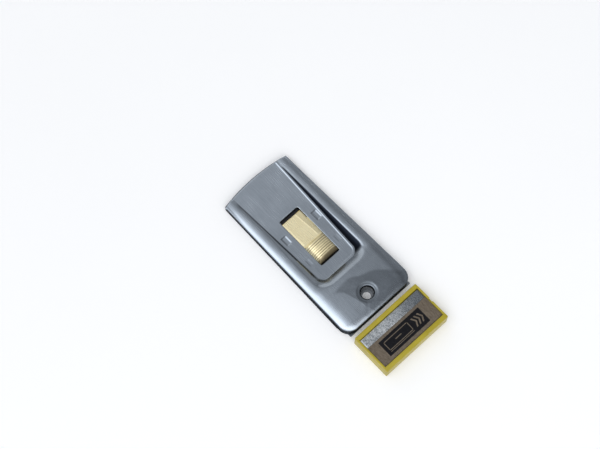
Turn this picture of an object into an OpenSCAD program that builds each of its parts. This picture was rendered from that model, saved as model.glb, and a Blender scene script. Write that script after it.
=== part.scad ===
// Hob scraper with a retractable single-edge blade, and its case of spare blades.
// A pressed steel shell is folded round a base plate. Between them slides a carrier that
// holds the blade, pushed by a brass thumb leaf in the shell's window.
// Modules draw with the front corners at x = 0, the rear towards +x and the table at z = 0.
// placed() then turns each one into the frame of the hanging hole, front towards +X.

/* [Blade] */
// width of the blade, which sets the width of the holder
blade_w = 39; // [36:0.5:42]
// depth of the blade from its edge to the back of its spine
blade_d = 17.8; // [17:0.1:19]
// thickness of the blade
blade_t = 0.3; // [0.2:0.05:0.4]
// depth of the spine folded over the blade's back
spine_d = 5.5; // [4.5:0.1:6]
// thickness of the spine
spine_t = 1.2; // [1:0.05:1.4]
// how far the blade slides forward
travel = 16; // [12:0.5:17]

/* [Holder] */
// length from the front corners to the rear edge
plate_len = 91; // [88:0.5:100]
// thickness of the pressed sheets
sheet = 0.6; // [0.5:0.05:0.7]
// how much each side widens towards the rear
flare = 1.5; // [0.5:0.1:2.5]
// how far the front edge bows out between its corners
front_bow = 2.2; // [1.5:0.1:3]
// how far the base plate's lip stands ahead of the panel
lip = 0.9; // [0.5:0.1:1.2]
// height of the shell's top at the rear
rear_top = 7.8; // [7.4:0.1:9]
// height of the side rails above the panel at the front edge
rail_rise = 0.7; // [0.5:0.1:1]
// radius of the shell's rear corners
rear_corner_r = 6.5; // [5.5:0.5:8]
// rounding of the top edge at the rear
edge_round = 1.9; // [1.5:0.1:2.2]

/* [Panel] */
// width of the sunken panel at the front edge
panel_front_w = 30; // [28:0.5:31]
// width of the sunken panel at its rear end
panel_rear_w = 24.6; // [24:0.2:26]
// distance from the front corners to the window
window_front = 24; // [23:0.5:26]
// width of the window
window_w = 12.5; // [12:0.1:13.5]
// depth of the pressed detents
detent_depth = 0.35; // [0.2:0.05:0.4]

/* [Hanging hole] */
// radius of the hole in the base plate
hole_r = 2.1; // [1.8:0.1:2.5]
// distance from the hole to the rear edge
hole_back = 10; // [9:0.5:12]
// inside radius of the shell's eyelet
eyelet_r = 3.2; // [3:0.1:3.5]
// rounding of the eyelet's mouth
eyelet_round = 1.1; // [0.8:0.1:1.3]

/* [Thumb leaf] */
// thickness of the brass leaf
leaf_t = 0.4; // [0.3:0.05:0.4]
// length of the ribbed hump
hump_len = 12; // [11:0.5:13]
// height of the hump's crest above the panel
hump_rise = 2.6; // [2:0.1:3]
// distance from one rib to the next
rib_pitch = 1.15; // [1:0.05:1.2]

/* [Spare case] */
// gap between the holder and the case
case_gap = 3; // [2:0.5:8]
// width of the tray's two long walls
bar_w = 2.45; // [2:0.05:3]
// thickness of the tray's two end walls
end_wall = 1.1; // [0.9:0.1:1.5]
// thickness of the tray's floor
case_floor = 1.2; // [1:0.1:1.5]

/* [Hidden] */
run_gap = 0.1;
blade_side_gap = 0.7;
carrier_t = 0.4;
carrier_low = 2 * sheet + run_gap;
carrier_top = carrier_low + carrier_t;
spine_wall = 0.3;
panel_low = carrier_top + spine_t + 0.3;
panel_top = panel_low + sheet;
front_half = blade_w / 2 + blade_side_gap + sheet;
rear_half = front_half + flare;
front_top = panel_top + rail_rise;
front_round = 1.3;
front_r = (pow(front_half, 2) + pow(front_bow, 2)) / (2 * front_bow);
hole_x = plate_len - hole_back;
// the flat part of the top starts here, and it falls evenly from here to the front
flat_x = plate_len - 2 * rear_corner_r + edge_round;
top_slope = (rear_top - front_top) / flat_x;
nose_x = -8;
nose_r = 3;
nose_top = front_top + top_slope * (nose_x - nose_r + front_round);
window_len = travel + hump_len + 3;
window_half = window_w / 2;
panel_len = window_front + window_len + 6.7;
panel_corner_r = 4;
tub_top = rear_top + 0.5;
tub_rise = tub_top - panel_top;
wall_run = 1.02;
hem_x0 = 2;
hem_x1 = plate_len - 8;
hem_w = 3;
plate_front_half = front_half - sheet - run_gap;
plate_rear_half = plate_front_half + 0.2 * flare;
rail_half = blade_w / 2 - 2.5;
rail_w = 0.9;
rail_top = carrier_top - run_gap;

spine_back = window_front - 0.9;
spine_front = spine_back - spine_d;
edge_x = spine_back - blade_d;
spine_mid = carrier_top + spine_t / 2;
stud_r = 1.1;
slot_r = stud_r + run_gap;
stud_x = spine_front - 2.2;
tab_x = spine_back + run_gap;

pad_x = window_front + 2.1;
pad_top = panel_low - 0.15;
pad_low = pad_top - leaf_t;
leaf_half = window_half - 0.35;
foot_len = 4;
wing_top = panel_low - detent_depth - run_gap;
wing_low = wing_top - leaf_t;
wing_half = 11.8;
hump_x = window_front + 2 + travel;
hump_end = hump_x + hump_len;
crest = panel_top + hump_rise;
rib_low = crest - 0.3;
rib_count = floor(hump_len * 8.1 / 12 / rib_pitch);
rivet_x = pad_x + leaf_t + 2.1;
rivet_y = 2.8;
rivet_r = 0.7;
rivet_head_r = 1.2;
rivet_head_h = 0.3;

detent_x = window_front + 9.6;
detent_y = 10.3;
rear_detent_y = 9.7;

blade_clear = 0.2;
sleeve_t = spine_t + 0.18;
sleeve_wall = 0.3;
stack_gap = 0.1;
case_in_d = blade_d + sleeve_wall + 2 * stack_gap;
case_in_w = blade_w + 2 * blade_clear;
case_x = plate_len + case_gap;
case_y = -0.5;
case_d = case_in_d + 2 * bar_w;
case_w = case_in_w + 2 * end_wall;
case_h = case_floor + 5 * sleeve_t + 0.6;
pack_x = case_x + bar_w + stack_gap;

steel = [0.60, 0.62, 0.65];
blade_steel = [0.72, 0.74, 0.77];
brass = [0.84, 0.74, 0.46];
yellow = [0.80, 0.74, 0.12];
card = [0.50, 0.43, 0.35];

// half the shell's outside width at x
function half_at(x) = front_half + flare * x / (plate_len - rear_corner_r);
// half the panel's width at x
function panel_half(x) =
    (panel_front_w + (panel_rear_w - panel_front_w) * x / (panel_len - panel_corner_r)) / 2;
// half the base plate's width at x
function plate_half(x) =
    plate_front_half + (plate_rear_half - plate_front_half) * x / plate_len;

module placed() {
    translate([hole_x, 0, -sheet]) rotate([0, 0, 180]) children();
}

// a round post with a rounded top edge
module dome(r, e, h, low) {
    rotate_extrude($fn = 32)
        polygon(concat([[0, low], [r, low], [r, h - e]],
                       [for (i = [1:5]) [r - e + e * cos(18 * i), h - e + e * sin(18 * i)]],
                       [[0, h]]));
}

// the wedge that the shell is pressed to, moved inwards by g
module shell_form(g, low) {
    hull() {
        for (s = [-1, 1]) {
            translate([plate_len - rear_corner_r, s * (rear_half - rear_corner_r), 0])
                dome(rear_corner_r - g, edge_round - g, rear_top - g, low);
            translate([nose_x, s * (half_at(nose_x) - nose_r), 0])
                dome(nose_r - g, front_round - g, nose_top - g, low);
        }
    }
}

// the sunken panel's tub, moved outwards by g
module tub(g) {
    side = 1.25 * g;
    rear_r = panel_corner_r + 1.25 * tub_rise;
    hull() {
        for (s = [-1, 1]) {
            translate([panel_len - panel_corner_r, s * (panel_rear_w / 2 - panel_corner_r),
                       panel_top - g])
                cylinder(r = panel_corner_r + side, h = 0.02, $fn = 32);
            translate([panel_len - panel_corner_r,
                       s * (panel_rear_w / 2 + wall_run * tub_rise - rear_r), tub_top])
                cylinder(r = rear_r + side, h = 0.02, $fn = 32);
            translate([nose_x, s * (panel_half(nose_x) - 1), panel_top - g])
                cylinder(r = 1 + side, h = 0.02, $fn = 32);
            translate([nose_x, s * (panel_half(nose_x) + 0.22 * tub_rise - 1), tub_top])
                cylinder(r = 1 + side, h = 0.02, $fn = 32);
        }
    }
}

// all that lies ahead of the bowed front edge, which is moved forward by out
module front_cut(out) {
    difference() {
        translate([-40, -60, -5]) cube([60, 120, 20]);
        translate([front_r - front_bow, 0, -6]) cylinder(r = front_r + out, h = 22, $fn = 240);
    }
}

// the strips of the shell's sides that are folded under the base plate
module hems() {
    for (s = [-1, 1])
        linear_extrude(height = sheet)
            polygon([[hem_x0, s * (half_at(hem_x0) - 0.5 * sheet)],
                     [hem_x1, s * (half_at(hem_x1) - 0.5 * sheet)],
                     [hem_x1 - hem_w, s * (half_at(hem_x1) - hem_w)],
                     [hem_x0 + 1, s * (half_at(hem_x0) - hem_w)]]);
}

// one box for each of the four detents, grown by g on its sides
module detents(g, low, high) {
    for (s = [-1, 1]) {
        translate([detent_x - 2.5 - g, s * detent_y - 1.35 - g, low])
            cube([5 + 2 * g, 2.7 + 2 * g, high - low]);
        translate([detent_x + travel - 2 - g, s * rear_detent_y - 0.65 - g, low])
            cube([4 + 2 * g, 1.3 + 2 * g, high - low]);
    }
}

module eyelet_skin() {
    translate([hole_x, 0, 0])
        rotate_extrude($fn = 64)
            polygon([[0, 2 * sheet], [eyelet_r + sheet, 2 * sheet],
                     [eyelet_r + sheet, rear_top - eyelet_round - sheet],
                     [eyelet_r + sheet + eyelet_round, rear_top - 0.5 * sheet],
                     [0, rear_top - 0.5 * sheet]]);
}

module eyelet_bore() {
    translate([hole_x, 0, 0])
        rotate_extrude($fn = 64)
            polygon(concat([[0, sheet], [eyelet_r, sheet],
                            [eyelet_r, rear_top - eyelet_round]],
                           [for (i = [1:5])
                                [eyelet_r + eyelet_round * (1 - cos(18 * i)),
                                 rear_top - eyelet_round + eyelet_round * sin(18 * i)]],
                           [[eyelet_r + eyelet_round, rear_top + 1], [0, rear_top + 1]]));
}

// a plate with rounded corners between two corners in plan
module soft_plate(x0, x1, half, r, low, high) {
    translate([x0 + r, -half, low]) cube([x1 - x0 - 2 * r, 2 * half, high - low]);
    translate([x0, -half + r, low]) cube([x1 - x0, 2 * (half - r), high - low]);
    for (x = [x0 + r, x1 - r])
        for (s = [-1, 1])
            translate([x, s * (half - r), low])
                cylinder(r = r, h = high - low, $fn = 32);
}

module top_shell() {
    color(steel) placed()
        difference() {
            shell_form(0, 0);
            difference() {
                shell_form(sheet, -1);
                tub(sheet);
                eyelet_skin();
                hems();
                detents(0.4, panel_low - detent_depth, panel_top);
            }
            tub(0);
            front_cut(0);
            translate([hem_x1, -60, -2]) cube([60, 120, 2 + 2 * sheet]);
            translate([-20, -60, -2]) cube([20 + hem_x0, 120, 2 + sheet]);
            soft_plate(window_front, window_front + window_len, window_half, 1,
                       panel_low - 1, panel_top + 1);
            detents(0, panel_top - detent_depth, panel_top + 1);
            eyelet_bore();
        }
}

module base_plate() {
    color(steel) placed()
        difference() {
            union() {
                translate([0, 0, sheet])
                    linear_extrude(height = sheet)
                        polygon([[-10, -plate_half(-10)], [plate_len, -plate_half(plate_len)],
                                 [plate_len, plate_half(plate_len)], [-10, plate_half(-10)]]);
                for (s = [-1, 1])
                    translate([4, s * (rail_half + rail_w / 2) - rail_w / 2, 1.5 * sheet])
                        cube([56, rail_w, rail_top - 1.5 * sheet]);
            }
            for (s = [-1, 1])
                translate([4.3, s * (rail_half + rail_w / 2) - 0.2, 0])
                    cube([55.4, 0.4, rail_top - 0.3]);
            front_cut(lip);
            translate([hole_x, 0, 0]) cylinder(r = hole_r, h = 3 * sheet, $fn = 64);
        }
}

module blade_carrier() {
    main_x = stud_x + 1.7;
    back_x = hump_end + 2;
    color(steel) placed()
        difference() {
            union() {
                soft_plate(main_x, back_x, rail_half - 0.3, 2, carrier_low, carrier_top);
                translate([stud_x - 2, -6, carrier_low]) cube([6, 12, carrier_t]);
                for (s = [-1, 1])
                    translate([tab_x, s * 11.8 - 3.8, carrier_low])
                        cube([0.4, 7.6, carrier_t + 0.8 * spine_t]);
            }
            for (s = [-1, 1]) {
                translate([tab_x + 0.4, s * 11.8 - 3.8, carrier_low - 1])
                    cube([1.1, 7.6, 3]);
                translate([rivet_x, s * rivet_y, carrier_low - 1])
                    cylinder(r = rivet_r, h = 3, $fn = 32);
                translate([hump_x + 2, s * 10 - 1.5, carrier_low - 1]) cube([8, 3, 3]);
            }
            translate([stud_x, 0, carrier_low - 1]) cylinder(r = 0.7 * stud_r, h = 3, $fn = 32);
        }
}

module blade_stud() {
    color(steel) placed() {
        translate([stud_x, 0, carrier_low])
            cylinder(r = 0.7 * stud_r, h = carrier_t + 0.1, $fn = 32);
        translate([stud_x, 0, carrier_top])
            cylinder(r = stud_r, h = spine_t - 0.2, $fn = 32);
        translate([stud_x, 0, carrier_top + spine_t - 0.2])
            cylinder(r1 = stud_r, r2 = stud_r - 0.2, h = 0.2, $fn = 32);
    }
}

module leaf_rivets() {
    head = carrier_top + leaf_t + run_gap;
    color(brass) placed()
        for (s = [-1, 1])
            translate([rivet_x, s * rivet_y, 0]) {
                translate([0, 0, carrier_low])
                    cylinder(r = rivet_r, h = head - carrier_low + 0.1, $fn = 32);
                translate([0, 0, head]) cylinder(r = rivet_head_r, h = rivet_head_h, $fn = 32);
            }
}

// a blade with its edge towards -x, standing on its spine's underside at z = 0
module blade_form() {
    mid = spine_t / 2;
    low = mid - blade_t / 2;
    high = mid + blade_t / 2;
    difference() {
        rotate([90, 0, 0])
            linear_extrude(height = blade_w, center = true)
                polygon([[0, mid - 0.01], [1.2, low], [blade_d - spine_wall, low],
                         [blade_d - spine_wall, high], [1.2, high], [0, mid + 0.01]]);
        for (y = [-1.5, 1.5])
            translate([blade_d - spine_d - 2.2, y, 0])
                cylinder(r = slot_r, h = spine_t, $fn = 32);
        translate([blade_d - spine_d - 2.2 - slot_r, -1.5, 0])
            cube([2 * slot_r, 3, spine_t]);
        for (s = [-1, 1])
            translate([blade_d - spine_d - 3.6, s * blade_w / 2 - 0.9, 0])
                cube([2.4, 1.8, spine_t]);
    }
}

// the strip folded over a blade's back, standing on z = 0
module spine_form() {
    difference() {
        translate([blade_d - spine_d, -blade_w / 2, 0]) cube([spine_d, blade_w, spine_t]);
        translate([blade_d - spine_d - 1, -blade_w / 2 - 1, (spine_t - blade_t) / 2])
            cube([spine_d + 1 - spine_wall, blade_w + 2, blade_t]);
    }
}

// the folded card over a blade's edge, standing on z = 0
module sleeve_form() {
    difference() {
        translate([-sleeve_wall, -blade_w / 2, 0])
            cube([blade_d - spine_d + sleeve_wall - 0.05, blade_w, sleeve_t]);
        translate([0, -blade_w / 2 - 1, (sleeve_t - blade_t) / 2])
            cube([blade_d, blade_w + 2, blade_t]);
    }
}

module fitted_blade() {
    color(blade_steel) placed() translate([edge_x, 0, carrier_top]) blade_form();
}

module fitted_blade_spine() {
    color(blade_steel) placed() translate([edge_x, 0, carrier_top]) spine_form();
}

// the hump's solid, made of its side view and its front view, moved inwards by g
module hump_form(g) {
    top = g > 0 ? rib_low - g : crest;
    step = hump_len / 12;
    teeth = g > 0 ? [] :
        [for (i = [0:rib_count - 1])
            for (p = [[0, rib_low], [0.75 * rib_pitch, crest], [0.85 * rib_pitch, rib_low]])
                [hump_x + 2 * step + i * rib_pitch + p[0], p[1]]];
    base = pad_low - (g > 0 ? 1 : 0);
    intersection() {
        rotate([90, 0, 0])
            linear_extrude(height = 40, center = true)
                polygon(concat([[hump_x + g, base], [hump_x + 0.3 * step + g, panel_top + 0.4],
                                [hump_x + 1.1 * step + g, top - 0.7],
                                [hump_x + 1.9 * step + g, top - 0.3]],
                               teeth,
                               [[hump_end - 1.9 * step - g, top - 0.3],
                                [hump_end - 0.9 * step - g, top - 1],
                                [hump_end - 0.25 * step - g, panel_top + 0.4],
                                [hump_end - g, base]]));
        translate([hump_x - 1, 0, 0])
            rotate([90, 0, 90])
                linear_extrude(height = hump_len + 2)
                    polygon(concat([[leaf_half - g, base], [leaf_half - 0.2 - g, panel_top + 0.2]],
                                   [for (i = [0:8])
                                        [(leaf_half - 1.3 - g) * cos(22.5 * i),
                                         top - 0.55 + 0.55 * sin(22.5 * i)]],
                                   [[-leaf_half + 0.2 + g, panel_top + 0.2],
                                    [-leaf_half + g, base]]));
    }
}

module thumb_leaf() {
    color(brass) placed()
        difference() {
            union() {
                translate([pad_x, -leaf_half, pad_low])
                    cube([hump_x + 0.6 - pad_x, 2 * leaf_half, leaf_t]);
                translate([pad_x, -leaf_half + 0.4, carrier_top])
                    cube([leaf_t, 2 * leaf_half - 0.8, pad_top - carrier_top - 0.1]);
                translate([pad_x, -leaf_half + 0.4, carrier_top])
                    cube([leaf_t + foot_len, 2 * leaf_half - 0.8, leaf_t]);
                for (s = [-1, 1]) {
                    translate([pad_x + 5, s * (leaf_half - leaf_t / 2) - leaf_t / 2, wing_low])
                        cube([hump_end - pad_x - 5.5, leaf_t, pad_top - wing_low]);
                    translate([pad_x + 5, s * (wing_half + leaf_half - leaf_t) / 2
                               - (wing_half - leaf_half + leaf_t) / 2, wing_low])
                        cube([hump_end - pad_x - 5.5, wing_half - leaf_half + leaf_t, leaf_t]);
                }
                hump_form(0);
            }
            hump_form(leaf_t);
            for (s = [-1, 1])
                translate([rivet_x, s * rivet_y, carrier_top - 1])
                    cylinder(r = rivet_r + run_gap, h = 1.2 + leaf_t, $fn = 32);
        }
}

module case_tray() {
    color(yellow) placed() translate([case_x, case_y, 0])
        difference() {
            union() {
                translate([0.3, -case_w / 2, 0])
                    cube([case_d - 0.6, case_w, case_floor + 0.2]);
                for (m = [0, 1])
                    translate([m * case_d, 0, 0]) mirror([m, 0, 0])
                        rotate([90, 0, 0])
                            linear_extrude(height = case_w, center = true)
                                polygon([[0.3, 0], [bar_w, 0], [bar_w, case_h - 0.15],
                                         [bar_w - 0.15, case_h], [0.5, case_h],
                                         [0.15, case_h - 0.25], [0, case_h - 0.7],
                                         [0, 0.4]]);
                for (s = [-1, 1])
                    translate([bar_w - 0.2, s * (case_w - end_wall) / 2 - end_wall / 2, 0])
                        cube([case_in_d + 0.4, end_wall, case_h - 0.1]);
            }
            translate([bar_w, -case_in_w / 2, case_floor])
                cube([case_in_d, case_in_w, case_h]);
            translate([bar_w + 0.42 * case_in_d, case_w / 2 - end_wall - 1, case_h - 1.6])
                cube([2.2, end_wall + 2, 4]);
            translate([bar_w + 4, -case_w / 2 + 6, -1]) cube([case_in_d - 8, 6, 1.5]);
            translate([bar_w + 4, case_w / 2 - 12, -1]) cube([case_in_d - 8, 6, 1.5]);
        }
}

// puts one spare, the first at the bottom, with its edge away from the holder
module in_stack(i) {
    placed()
        translate([pack_x + blade_d, case_y, case_floor + (i - 1) * sleeve_t])
            mirror([1, 0, 0]) children();
}

module spare_blade(i) {
    color(blade_steel)
        in_stack(i) translate([0, 0, (sleeve_t - spine_t) / 2]) blade_form();
}

module spare_spine(i) {
    color(blade_steel)
        in_stack(i) translate([0, 0, (sleeve_t - spine_t) / 2]) spine_form();
}

module blade_sleeve(i) {
    color(card) in_stack(i) sleeve_form();
}

top_shell();
base_plate();
blade_carrier();
blade_stud();
leaf_rivets();
fitted_blade();
fitted_blade_spine();
thumb_leaf();
case_tray();
spare_blade(1);  // spare_blade_1
spare_blade(2);  // spare_blade_2
spare_blade(3);  // spare_blade_3
spare_blade(4);  // spare_blade_4
spare_blade(5);  // spare_blade_5
spare_spine(1);  // spare_spine_1
spare_spine(2);  // spare_spine_2
spare_spine(3);  // spare_spine_3
spare_spine(4);  // spare_spine_4
spare_spine(5);  // spare_spine_5
blade_sleeve(1);  // blade_sleeve_1
blade_sleeve(2);  // blade_sleeve_2
blade_sleeve(3);  // blade_sleeve_3
blade_sleeve(4);  // blade_sleeve_4
blade_sleeve(5);  // blade_sleeve_5
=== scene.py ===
"""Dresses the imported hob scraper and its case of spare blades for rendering.

Pieces are laid out in bench millimetres: u runs from the front corners to the rear, v
across, z up from the table. ``at`` turns a bench point into the row's frame in metres.
"""

import logging  # noqa: E402
import math  # noqa: E402
from dataclasses import dataclass, field  # noqa: E402
from enum import Enum  # noqa: E402
from typing import Callable, Iterable, Sequence  # noqa: E402

import bmesh  # noqa: E402
import bpy  # noqa: E402
from mathutils import Matrix, Vector  # noqa: E402


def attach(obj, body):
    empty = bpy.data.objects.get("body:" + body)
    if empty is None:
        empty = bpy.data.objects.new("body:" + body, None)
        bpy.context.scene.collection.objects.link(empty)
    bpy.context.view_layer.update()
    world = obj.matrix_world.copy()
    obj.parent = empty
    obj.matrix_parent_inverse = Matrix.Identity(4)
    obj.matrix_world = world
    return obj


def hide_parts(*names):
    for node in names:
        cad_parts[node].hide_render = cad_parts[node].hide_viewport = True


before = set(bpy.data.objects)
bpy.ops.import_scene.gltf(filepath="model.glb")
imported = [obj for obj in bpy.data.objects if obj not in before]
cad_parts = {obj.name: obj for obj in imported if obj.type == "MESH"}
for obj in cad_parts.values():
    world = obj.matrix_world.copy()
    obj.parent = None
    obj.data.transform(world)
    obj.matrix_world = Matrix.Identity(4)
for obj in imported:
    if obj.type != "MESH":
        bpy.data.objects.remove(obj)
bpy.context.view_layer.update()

LOG = logging.getLogger("scene")
MM = 0.001
HOLE_U = 81.0  # hanging hole's middle
SHEET = 0.6  # thickness of the shell's sheet
PLATE_LEN = 91.0  # from the front corners to the shell's rear
MASKS = "masks"  # name of the UV map that shades a piece

Point = tuple[float, float, float]
Colour = tuple[float, float, float]
Socket = bpy.types.NodeSocket


def at(u: float, v: float, z: float) -> Vector:
    """Gives the row-frame place, in metres, of a bench point in millimetres."""
    return Vector((HOLE_U - u, -v, z - SHEET)) * MM


def clamp(x: float, low: float = 0.0, high: float = 1.0) -> float:
    """Keeps x between low and high."""
    return max(low, min(high, x))


def ease(x: float) -> float:
    """Smooth step from 0 at 0 to 1 at 1."""
    t = clamp(x)
    return t * t * (3 - 2 * t)


def soft_min(a: float, b: float, k: float) -> float:
    """Least of a and b, with their meeting rounded over a height of k."""
    h = max(k - abs(a - b), 0.0)
    return min(a, b) - h * h / (4 * k)


def soft_max(a: float, b: float, k: float) -> float:
    """Greatest of a and b, with their meeting rounded over a height of k."""
    return -soft_min(-a, -b, k)


def spread(a: float, b: float, n: int, lean: float = 0.0) -> list[float]:
    """Gives n steps from a up to but not counting b.

    Args:
        a: first value.
        b: value after the last one.
        n: number of steps.
        lean: 0 for even steps, up to 1 to crowd them towards both ends.

    Returns:
        The n values.
    """
    out = []
    for i in range(n):
        t = i / n
        out.append(a + (b - a) * ((1 - lean) * t + lean * ease(t)))
    return out


def follow(table: Sequence[tuple[float, float]], x: float) -> float:
    """Reads a value from a table of (x, value) steps, going straight between them.

    Args:
        table: the steps, by rising x.
        x: where to read.

    Returns:
        The value at x.
    """
    for (x0, y0), (x1, y1) in zip(table, table[1:]):
        if x <= x1:
            return y0 + (y1 - y0) * clamp((x - x0) / (x1 - x0))
    return table[-1][1]


class Brush(Enum):
    """Direction of a brushed finish's lines."""

    LENGTH = (0.02, 1.0, 1.0)
    ACROSS = (1.0, 0.02, 1.0)
    NONE = (1.0, 1.0, 1.0)


class Tree:
    """Adds nodes to a node tree with few words."""

    def __init__(self, tree: bpy.types.NodeTree) -> None:
        """Works on that tree."""
        self.tree = tree

    def feed(self, node: bpy.types.Node, name: str | int, value: object) -> None:
        """Links a socket to a node's input, or sets the input to a plain value.

        Args:
            node: the node.
            name: the input's name or number.
            value: a socket, or the plain value.
        """
        if isinstance(value, Socket):
            self.tree.links.new(value, node.inputs[name])
        else:
            node.inputs[name].default_value = value

    def node(self, kind: str, **inputs: object) -> bpy.types.Node:
        """Adds a node with its inputs; _ in an input's name stands for a space.

        Args:
            kind: the node's type, without its common prefix.
            inputs: a socket or a plain value for each input.

        Returns:
            The node.
        """
        node = self.tree.nodes.new(f"ShaderNode{kind}")
        for name, value in inputs.items():
            self.feed(node, name.replace("_", " "), value)
        return node

    def pair(self, kind: str, how: str, a: object, b: object) -> bpy.types.Node:
        """Adds a math node that joins two values or two vectors.

        Args:
            kind: the node's type.
            how: the operation.
            a: first socket or value.
            b: second one.

        Returns:
            The node.
        """
        node = self.node(kind)
        node.operation = how
        self.feed(node, 0, a)
        self.feed(node, 1, b)
        return node

    def ramp(self, source: Socket, stops: Iterable[tuple[float, Colour]]) -> Socket:
        """Turns a value into a colour by the given stops.

        Args:
            source: the value.
            stops: each stop's place and colour.

        Returns:
            The colour.
        """
        node = self.node("ValToRGB", Fac=source)
        stops = list(stops)
        elements = node.color_ramp.elements
        while len(elements) < len(stops):
            elements.new(0.5)
        for element, (place, colour) in zip(elements, stops):
            element.position = place
            element.color = (*colour, 1.0)
        return node.outputs["Color"]

    def span(self, source: Socket, low: float, high: float,
             start: float = 0.3, end: float = 0.7) -> Socket:
        """Maps a value from start..end to low..high."""
        return self.node("MapRange", Value=source, From_Min=start, From_Max=end,
                         To_Min=low, To_Max=high).outputs["Result"]


class Nodes(Tree):
    """Builds a material's node tree."""

    def __init__(self, name: str) -> None:
        """Starts an empty material of that name.

        Args:
            name: the material's name.
        """
        self.material = bpy.data.materials.new(name)
        self.material.use_nodes = True
        super().__init__(self.material.node_tree)
        self.shader = self.tree.nodes["Principled BSDF"]
        self.coords = self.node("TexCoord").outputs["Object"]

    def noise(self, scale: float, stretch: Sequence[float] = (1, 1, 1),
              detail: float = 4.0) -> Socket:
        """A noise texture with scale cycles per metre, stretched by axis."""
        place = self.node("Mapping", Vector=self.coords, Scale=stretch).outputs["Vector"]
        return self.node("TexNoise", Scale=scale, Detail=detail, Vector=place).outputs["Fac"]

    def mask(self, channel: str) -> Socket:
        """One channel, X or Y, of the piece's mask coordinates.

        Args:
            channel: X or Y.

        Returns:
            The mask's value.
        """
        node = self.node("UVMap")
        node.uv_map = MASKS
        return self.node("SeparateXYZ", Vector=node.outputs["UV"]).outputs[channel]

    def mix(self, factor: Socket, a: Socket, b: Colour) -> Socket:
        """Blends a colour towards b by a factor.

        Args:
            factor: 0 for a, 1 for b.
            a: first colour.
            b: second colour.

        Returns:
            The blended colour.
        """
        node = self.node("Mix")
        node.data_type = "RGBA"
        for name, value in (("Factor", factor), ("A", a), ("B", (*b, 1.0))):
            self.feed(node, name, value)
        return node.outputs["Result"]

    def join(self, a: Socket, b: Socket, how: str = "ADD") -> Socket:
        """Joins two values by a math operation."""
        return self.pair("Math", how, a, b).outputs[0]

    def bump(self, height: Socket, distance: float, strength: float) -> None:
        """Roughens the surface by a height value, distance in metres."""
        node = self.node("Bump", Distance=distance, Strength=strength, Height=height)
        self.fix(Normal=node.outputs["Normal"])

    def fix(self, **values: object) -> None:
        """Sets or links the shader's inputs; _ in a name stands for a space."""
        for name, value in values.items():
            self.feed(self.shader, name.replace("_", " "), value)


@dataclass(frozen=True)
class MetalFinish:
    """A bare metal with fine lines, faint stains and pits, with painted shade and painted
    reflection where its piece's masks lay them.
    """

    name: str
    dark: Colour
    light: Colour
    rough: float = 0.28
    rough_swing: float = 0.06
    line_bump: float = 0.10
    brush: Brush = Brush.LENGTH
    mottle: float = 0.0
    metallic: float = 1.0
    # masked: mask X lays painted shade; mask Y lays painted reflection on the shell and painted
    # shade on the brass
    masked: bool = False
    # colour that mask X blends towards: painted shade
    painted_shade_colour: Colour = (0.012, 0.015, 0.022)
    # graze at 0 takes the tint out of the grazing reflection, darkening walls seen edge-on: painted
    # shade
    graze: float = 1.0

    def build(self) -> bpy.types.Material:
        """Makes the Blender material.

        Returns:
            The material.
        """
        pen = Nodes(self.name)
        lines = pen.noise(5200.0, self.brush.value, 6.0)
        cloud = pen.noise(90.0, detail=5.0)
        grain = pen.noise(1900.0, detail=3.0)
        along = (0.012, 1, 1) if self.brush is Brush.LENGTH else (1, 1, 1)
        scratch = pen.noise(3100.0, along, 1.0)
        tone = pen.join(pen.span(lines, 0.0, 0.55), pen.span(cloud, 0.0, 0.45))
        tone = pen.join(tone, pen.span(scratch, 0.0, 0.35, 0.66, 0.74))
        patches = pen.noise(900.0, detail=6.0)
        if self.mottle:
            tone = pen.join(tone, pen.span(patches, -self.mottle, self.mottle))
        colour = pen.ramp(tone, [(0.1, self.dark), (0.9, self.light)])
        if self.masked:
            # Mask Y: painted reflection on the shell, painted shade on the brass, blended in with a
            # ragged edge
            ragged = pen.join(pen.span(cloud, -0.45, 0.45), pen.span(patches, -0.2, 0.2))
            ragged = pen.join(pen.mask("Y"), ragged)
            ragged = pen.span(ragged, 0.0, 0.68, 0.0, 1.0)
            shade = pen.join(ragged, pen.mask("Y"), "MULTIPLY")
            colour = pen.mix(shade, colour, tuple(0.52 * c for c in self.dark))
            # Mask X: painted shade
            colour = pen.mix(pen.mask("X"), colour, self.painted_shade_colour)
        sheen = pen.span(lines, self.rough - self.rough_swing, self.rough + self.rough_swing)
        pen.fix(Base_Color=colour, Roughness=pen.join(sheen, pen.span(cloud, -0.03, 0.05)),
                Metallic=self.metallic, Specular_Tint=(*(self.graze,) * 3, 1.0))
        height = pen.join(lines, pen.span(grain, 0.0, 0.25))
        if self.mottle:
            height = pen.join(height, pen.span(patches, 0.0, 8 * self.mottle))
        pen.bump(height, 0.00002, self.line_bump)
        return pen.material


@dataclass(frozen=True)
class PlasticFinish:
    """Moulded plastic with slight cloudiness and a fine skin."""

    name: str
    dark: Colour
    light: Colour
    rough: float = 0.38

    def build(self) -> bpy.types.Material:
        """Makes the Blender material.

        Returns:
            The material.
        """
        pen = Nodes(self.name)
        cloud = pen.noise(160.0)
        skin = pen.noise(2600.0, detail=2.0)
        colour = pen.ramp(pen.span(cloud, 0, 1), [(0.0, self.dark), (1.0, self.light)])
        pen.bump(skin, 0.00002, 0.25)
        pen.fix(Base_Color=colour, Metallic=0.0, IOR=1.49,
                Roughness=pen.span(skin, self.rough - 0.05, self.rough + 0.07))
        return pen.material


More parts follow.
